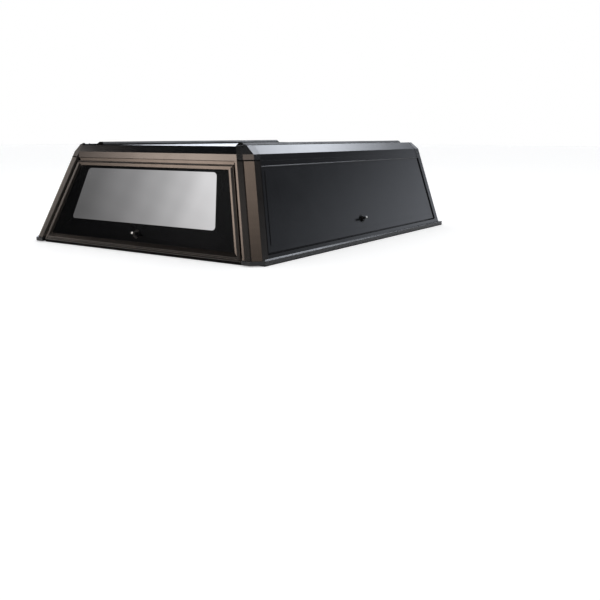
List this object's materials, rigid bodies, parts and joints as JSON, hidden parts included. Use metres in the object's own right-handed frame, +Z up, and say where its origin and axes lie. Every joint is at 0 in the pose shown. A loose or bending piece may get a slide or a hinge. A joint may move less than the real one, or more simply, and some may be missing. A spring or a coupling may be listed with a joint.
{
  "type": "pickup truck canopy",
  "caption": "Hollow aluminium canopy for a pickup truck bed, with a top-hinged glass rear hatch, lift-up side doors, turn locks and roof tracks.",
  "frame": {"origin": "middle of the base, on the underside of the bed seal", "axes": "+X to the right seen from behind, +Y forward to the cab, +Z up"},
  "size_m": [1.788, 2.224, 0.6045],
  "materials": {
    "shell_coating": "fine satin powder coat",
    "cap_coating": "coarse matt powder coat",
    "rear_coating": "fine satin powder coat",
    "door_coating": "fine satin powder coat",
    "track_black": "matt black anodised",
    "rail_black": "satin black",
    "glass_border": "black printed border",
    "tinted_glass": "grey tinted",
    "lock_black": "black",
    "seal_rubber": "matt"
  },
  "bodies": {
    "canopy_shell": {"base_rail_front": "rail_black", "base_rail_left": "rail_black", "base_rail_right": "rail_black", "bed_seal": "seal_rubber", "front_corner_left": "cap_coating", "front_corner_right": "cap_coating", "front_panel": "shell_coating", "front_post_left": "shell_coating", "front_post_right": "shell_coating", "front_window": "tinted_glass", "rear_corner_left": "cap_coating", "rear_corner_right": "cap_coating", "rear_header": "rear_coating", "rear_post_left": "rear_coating", "rear_post_right": "rear_coating", "roof_edge_front": "shell_coating", "roof_edge_left": "shell_coating", "roof_edge_rear": "shell_coating", "roof_edge_right": "shell_coating", "roof_panel": "shell_coating", "roof_track_left": "track_black", "roof_track_right": "track_black", "side_header_left": "shell_coating", "side_header_right": "shell_coating", "side_sill_left": "shell_coating", "side_sill_right": "shell_coating"},
    "rear_hatch": {"hatch_frame_bottom": "rear_coating", "hatch_frame_left": "rear_coating", "hatch_frame_right": "rear_coating", "hatch_frame_top": "rear_coating", "hatch_glass": "tinted_glass", "hatch_glass_band": "glass_border", "hatch_hinge_leaf": "shell_coating", "hatch_lock_case": "lock_black"},
    "left_side_door": {"side_door_hinge_leaf_left": "door_coating", "side_door_liner_left": "door_coating", "side_door_lock_case_left": "lock_black", "side_door_skin_left": "door_coating"},
    "right_side_door": {"side_door_hinge_leaf_right": "door_coating", "side_door_liner_right": "door_coating", "side_door_lock_case_right": "lock_black", "side_door_skin_right": "door_coating"},
    "hatch_lock": {"hatch_lock_knob": "lock_black"},
    "left_door_lock": {"side_door_lock_knob_left": "lock_black"},
    "right_door_lock": {"side_door_lock_knob_right": "lock_black"}
  },
  "joints": [
    {"name": "rear_hatch_hinge", "type": "hinge", "parent": "canopy_shell", "child": "rear_hatch", "pos_m": [0, -0.93831, 0.49014], "axis": [-1, 0, 0], "range_deg": [0, 75]},
    {"name": "right_door_hinge", "type": "hinge", "parent": "canopy_shell", "child": "right_side_door", "pos_m": [0.71402, 0, 0.4831], "axis": [0, -1, 0], "range_deg": [0, 75]},
    {"name": "left_door_hinge", "type": "hinge", "parent": "canopy_shell", "child": "left_side_door", "pos_m": [-0.71402, 0, 0.4831], "axis": [0, 1, 0], "range_deg": [0, 75]},
    {"name": "hatch_lock_turn", "type": "hinge", "parent": "rear_hatch", "child": "hatch_lock", "pos_m": [0, -1.06804, 0.10042], "axis": [0, -0.948, 0.3181], "range_deg": [0, 90]},
    {"name": "right_door_lock_turn", "type": "hinge", "parent": "right_side_door", "child": "right_door_lock", "pos_m": [0.83716, 0.01795, 0.14108], "axis": [0.9441, 0, 0.3297], "range_deg": [0, 90]},
    {"name": "left_door_lock_turn", "type": "hinge", "parent": "left_side_door", "child": "left_door_lock", "pos_m": [-0.83716, 0.01795, 0.14108], "axis": [-0.9441, 0, 0.3297], "range_deg": [0, 90]}
  ]
}
